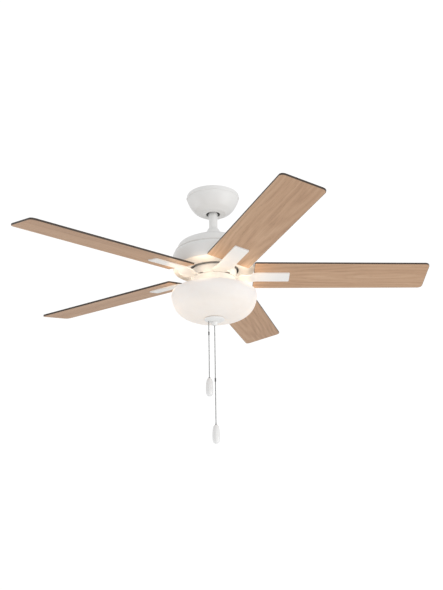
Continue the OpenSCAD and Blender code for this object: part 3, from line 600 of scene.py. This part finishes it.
def arm_station(r):
    """An arm's left and right half-widths, rise over the blade plane and twist, by distance from the axis."""
    bent = ease((r - ARM_BEND_IN_R) / (ARM_BEND_OUT_R - ARM_BEND_IN_R))
    wing = ARM_NOTCH + (ARM_FLARE - ARM_NOTCH) * ease((r - ARM_NOTCH_R) / (ARM_WING_R - ARM_NOTCH_R))
    root = math.sqrt(max(0, ARM_ROOT_R ** 2 - r ** 2))
    narrowing = ease((r - ARM_FLARE_R) / (ARM_BEND_OUT_R - ARM_FLARE_R))
    left = ARM_LEFT + (max(wing, root) - ARM_LEFT) * (1 - narrowing)
    right = ARM_NECK + (ARM_RIGHT - ARM_NECK) * ease((r - ARM_NECK_R) / (ARM_BEND_IN_R + 8 - ARM_NECK_R))
    return left, right, (wheel_bottom - BLADE_Z) * (1 - bent), math.radians(BLADE_PITCH * bent)


def arm_stations():
    """Distances from the axis: close over the bend, wide along the plate, closest in its end corners."""
    corner_in = ARM_TIP_R - ARM_CORNER_R
    bend = [ARM_INNER_R + (ARM_BEND_OUT_R - ARM_INNER_R) * i / 60 for i in range(61)]
    plate = [ARM_BEND_OUT_R + (ARM_TIP_R - ARM_BEND_OUT_R) * i / 16 for i in range(1, 16)]
    corner = [corner_in + ARM_CORNER_R * math.sin(math.pi / 2 * i / 6) for i in range(7)]
    return sorted(set(round(r, 4) for r in bend + plate + corner))


def arm_mesh(name):
    """A bent plate as a grid of its lower and upper faces, joined along its edges."""
    verts, faces = [], []
    stations = arm_stations()
    for r in stations:
        left, right, rise, twist = arm_station(r)
        over = max(0, r - (ARM_TIP_R - ARM_CORNER_R))
        trim = ARM_CORNER_R - math.sqrt(max(0, ARM_CORNER_R ** 2 - over ** 2))
        for n in (-ARM_SEAT, -ARM_T):
            for k in range(ACROSS + 1):
                s = trim - left + (left + right - 2 * trim) * k / ACROSS
                verts.append(Vector((r, s * math.cos(twist) - n * math.sin(twist),
                                     rise + s * math.sin(twist) + n * math.cos(twist))) * MM)
    side = ACROSS + 1
    for i in range(len(stations) - 1):
        a, b = 2 * side * i, 2 * side * (i + 1)
        for k in range(ACROSS):
            faces.append((a + k, a + k + 1, b + k + 1, b + k))
            faces.append((a + side + k, b + side + k, b + side + k + 1, a + side + k + 1))
        for k in (0, ACROSS):
            faces.append((a + k, b + k, b + k + side, a + k + side))
    for a in (0, 2 * side * (len(stations) - 1)):
        for k in range(ACROSS):
            faces.append((a + k, a + k + 1, a + k + 1 + side, a + k + side))
    return bevelled(new_object(name, verts, faces), 0.7)


for k in range(BLADES):
    arm = arm_mesh(f"blade_arm_{k + 1}")
    arm.data.transform(in_wheel(k))
    finish_piece(arm, "rotor", "white_enamel", f"arm_{k + 1}")


# ---------- blades ----------
BLADE_ROOT_R, BLADE_TIP_R, BLADE_ROOT_W, BLADE_TIP_W, BLADE_T = 123, 660.4, 136, 131, 5.6
ROOT_CORNER_R, TIP_CORNER_R = 5, 14
UNDER, UPPER, EDGE = 0, 1, 2


def blade_rim():
    """The blade's outline, anticlockwise from its root, with an arc in each corner."""
    out = []
    for x, half_w, r, start in ((BLADE_ROOT_R + ROOT_CORNER_R, -BLADE_ROOT_W / 2, ROOT_CORNER_R, 180),
                                (BLADE_TIP_R - TIP_CORNER_R, -BLADE_TIP_W / 2, TIP_CORNER_R, 270),
                                (BLADE_TIP_R - TIP_CORNER_R, BLADE_TIP_W / 2, TIP_CORNER_R, 0),
                                (BLADE_ROOT_R + ROOT_CORNER_R, BLADE_ROOT_W / 2, ROOT_CORNER_R, 90)):
        out += arc(x, half_w - math.copysign(r, half_w), r, start, 90, 12)
    return out


def blade_mesh(name):
    """A flat board whose underside, upper side and edge have a material each."""
    rim = blade_rim()
    n = len(rim)
    verts = [Vector((x, y, z)) * MM for z in (0, BLADE_T) for x, y in rim]
    faces = [tuple(range(n)), tuple(range(n, 2 * n))]
    faces += [(i, (i + 1) % n, n + (i + 1) % n, n + i) for i in range(n)]
    blade = new_object(name, verts, faces)
    for f in blade.data.polygons:
        f.material_index = EDGE
        if len(f.vertices) == n:
            f.material_index = UPPER if f.center.z > BLADE_T / 2 * MM else UNDER
    return bevelled(blade, 0.9, angle=50, material=EDGE)


for k in range(BLADES):
    blade = blade_mesh(f"oak_blade_{k + 1}")
    blade.data.transform(in_wheel(k) @ Matrix.Rotation(math.radians(BLADE_PITCH), 4, "X"))
    under = veneer(f"oak_under_{k + 1}", 11 + k, heading_of(k), OAK_UNDER)
    upper = veneer(f"oak_upper_{k + 1}", 31 + k, heading_of(k), OAK_UPPER, dust=0.25)
    finish_piece(blade, "rotor", "blade_veneer", f"blade_{k + 1}", materials=[under, upper, edge_paint])


# ---------- light kit ----------
DISH_T, DISH_MOUTH_R = 1.5, 23
EAR_X, EAR_T, EAR_W, EAR_DROP, EAR_HOLE_R = 25.5, 3, 18, 0.7, 3.05
LAMP_X, LAMP_Z = 36, -357
GLASS_T = 3.6
NIPPLE_HOLE_R, KNOB_BORE_R = 5.1, 4.85
THREAD_PITCH = 3.6


def fitter_dish():
    """The dish between the switch cup and the glass, open in its middle for the wires and the chain."""
    dish_top = top_of("fitter_pan")
    dish = spline([(64, 0), (90, -2.2), (108, -5), (121, -7), (radius_of("fitter_pan"), -7.4)])
    under = [q for q in offset(dish, DISH_T)[::-1] if q[0] > 66]
    dish = [(DISH_MOUTH_R, 0)] + dish + under + [(DISH_MOUTH_R, -DISH_T)]
    dish = lathe("fitter_dish", fillet(raised(dish, dish_top), 0.4))
    finish_piece(dish, "fan_body", "white_enamel", "fitter_pan")


def lamp_ear(name, x):
    """A strap with rounded lower corners that hangs from the dish and holds a lamp holder in its hole."""
    ear_top, ear_bottom, half = top_of("fitter_pan") - EAR_DROP, bottom_of("fitter_pan"), EAR_W / 2
    ear = [(half, ear_top), (half, ear_bottom + 4), (half - 4, ear_bottom), (4 - half, ear_bottom),
           (-half, ear_bottom + 4), (-half, ear_top)]
    loops = (fillet(ear, 2.0), arc(0, LAMP_Z, EAR_HOLE_R, 0, 360, 24)[:-1])
    bm = bmesh.new()
    sides = []
    for sx in (x - EAR_T / 2, x + EAR_T / 2):
        runs = [[bm.verts.new(Vector((sx, y, z)) * MM) for y, z in loop] for loop in loops]
        edges = [bm.edges.new((run[i - 1], run[i])) for run in runs for i in range(len(run))]
        bmesh.ops.triangle_fill(bm, use_beauty=True, edges=edges)
        sides.append(runs)
    for a, b in zip(*sides):
        for i in range(len(a)):
            bm.faces.new((a[i - 1], a[i], b[i], b[i - 1]))
    bmesh.ops.recalc_face_normals(bm, faces=bm.faces)
    mesh = bpy.data.meshes.new(name)
    bm.to_mesh(mesh)
    bm.free()
    ear = bpy.data.objects.new(name, mesh)
    scene.collection.objects.link(ear)
    finish_piece(ear, "fan_body", "white_enamel")


def opal_bowl():
    """The glass, an even thickness inside its outer curve."""
    bowl = [(129.4, 0), (131, -10), (129, -24), (124, -39.5), (115.6, -53.5), (102, -66), (82, -75.8),
            (56, -81), (22, -82.3), (7, -82.5)]
    bowl = spline(raised(bowl, top_of("glass_bowl")))
    bowl = lathe("opal_bowl", fillet(skin(bowl, GLASS_T), 1.2), segments=192)
    finish_piece(bowl, "fan_body", "opal_glass", "glass_bowl")


def finial():
    """The cap under the glass and the knob that holds it, both around the nipple."""
    cap_top, cap_bottom = top_of("finial_cap"), bottom_of("finial_cap")
    cap = spline([(31, -0.4), (31, -1.8), (29, -3.6), (23, -5.8), (15, -7.6), (11, -8.6)])
    cap = raised([(NIPPLE_HOLE_R, 0), (30.6, 0)] + cap, cap_top) + [(NIPPLE_HOLE_R, cap_bottom)]
    cap = lathe("cap_turned", fillet(cap, 0.4), segments=128)
    finish_piece(cap, "fan_body", "white_enamel", "finial_cap")
    knob = spline([(8.4, 0), (10, -1), (10.2, -3), (9.6, -6), (7.6, -9.5), (4.6, -12), (2.6, -13)])
    knob = [(KNOB_BORE_R, 0)] + knob + [(2.4, -13), (2.4, -6.3), (KNOB_BORE_R, -6.3)]
    knob = lathe("knob_turned", fillet(raised(knob, top_of("finial_knob")), 0.3), segments=96)
    finish_piece(knob, "fan_body", "white_enamel", "finial_knob")


def bulb(name, turn, *replaced):
    """A globe lamp on its side, with the rolled thread of its cap."""
    glass = [(13, 26), (15, 31), (18.6, 39), (21.4, 49), (22, 59), (20.4, 69), (15, 78), (7.5, 82.6), (0, 84)]
    cap = [(0, 0.1), (9, 0.1), (11, 2.5)]
    for i in range(6):
        z = 3 + i * THREAD_PITCH
        cap += [(12.2, z), (12.95, z + 0.9), (12.95, z + 1.7), (12.2, z + 2.6)]
    lamp = lathe(name, cap + spline(glass), closed=False, segments=96, at=(LAMP_X, 0, LAMP_Z), axis="X")
    lamp.data.transform(Matrix.Rotation(turn, 4, "Z"))
    finish_piece(lamp, "fan_body", "lamp_envelope", *replaced)


fitter_dish()
lamp_ear("lamp_ear_left", -EAR_X)
lamp_ear("lamp_ear_right", EAR_X)
opal_bowl()
finial()
bulb("bulb_right", 0, "bulbs")
bulb("bulb_left", math.pi)

for name in ("hanger_bracket", "reverse_slider", "capacitor", "speed_switch", "light_switch",
             "reverse_switch", "yoke", "cup_plate", "shaft_nut", "nipple_nut"):
    bevelled(nodes[name], 0.25, segments=2, angle=50)


# ---------- floor, light and background; places are in metres ----------
MOTOR = Vector((0, 0, -0.3))
GLOW_R, GLOW_Z, GLOW_POWER = 0.129, -0.305, 0.076


def pale_floor(z, size):
    bm = bmesh.new()
    bmesh.ops.create_grid(bm, x_segments=8, y_segments=8, size=size)
    mesh = bpy.data.meshes.new("floor")
    bm.to_mesh(mesh)
    bm.free()
    floor = bpy.data.objects.new("floor", mesh)
    floor.location.z = z
    scene.collection.objects.link(floor)
    s = Surface("pale_floor", Roughness=0.8)
    cloud = s.noise(s.place(), 1.5, 2)
    s.set("Base Color", s.ramp(cloud, (0.3, srgb(238, 238, 238)), (0.7, srgb(244, 244, 244))))
    floor.data.materials.append(s.material)


def studio():
    """A white background for the camera and a soft sky for everything else."""
    world = bpy.data.worlds.new("studio")
    scene.world = world
    world.use_nodes = True
    tree = world.node_tree
    tree.nodes.clear()
    ray = tree.nodes.new("ShaderNodeLightPath")
    both = tree.nodes.new("ShaderNodeMixShader")
    end = tree.nodes.new("ShaderNodeOutputWorld")
    tree.links.new(ray.outputs["Is Camera Ray"], both.inputs[0])
    for index, colour, strength in ((1, (0.97, 0.985, 1, 1), 0.72), (2, (1, 1, 1, 1), 1.05)):
        sky = tree.nodes.new("ShaderNodeBackground")
        sky.inputs["Color"].default_value = colour
        sky.inputs["Strength"].default_value = strength
        tree.links.new(sky.outputs[0], both.inputs[index])
    tree.links.new(both.outputs[0], end.inputs[0])


def light_at(name, kind, place, power):
    light = bpy.data.lights.new(name, kind)
    light.energy = power
    o = bpy.data.objects.new(name, light)
    o.location = place
    o.visible_camera = False
    scene.collection.objects.link(o)
    return o, light


def softbox(name, place, size, power):
    """A round area light that looks at the motor."""
    o, light = light_at(name, "AREA", place, power)
    light.shape = "DISK"
    light.size = size
    o.rotation_euler = (MOTOR - Vector(place)).to_track_quat("-Z", "Y").to_euler()


def glow(name, azimuth):
    """Warm light that leaves the top of the glass between two blades."""
    a = math.radians(azimuth)
    place = (GLOW_R * math.cos(a), GLOW_R * math.sin(a), GLOW_Z)
    _, light = light_at(name, "POINT", place, GLOW_POWER)
    light.color = (1.0, 0.74, 0.48)
    light.shadow_soft_size = 0.02


pale_floor(z=-4.2, size=60.0)
studio()
softbox("key", (2.4, -1.2, -1.4), size=2.6, power=25.5)
softbox("fill", (-2.4, 0.7, -1.3), size=2.2, power=12)
softbox("front", (0.2, -2.8, -0.4), size=2.0, power=6)
softbox("under", (0.2, -0.4, -2.2), size=1.6, power=3.5)
for k in range(BLADES):
    glow(f"glow_{k + 1}", heading_of(k + 0.5))

scene.view_settings.view_transform = "Standard"
scene.view_settings.look = "None"
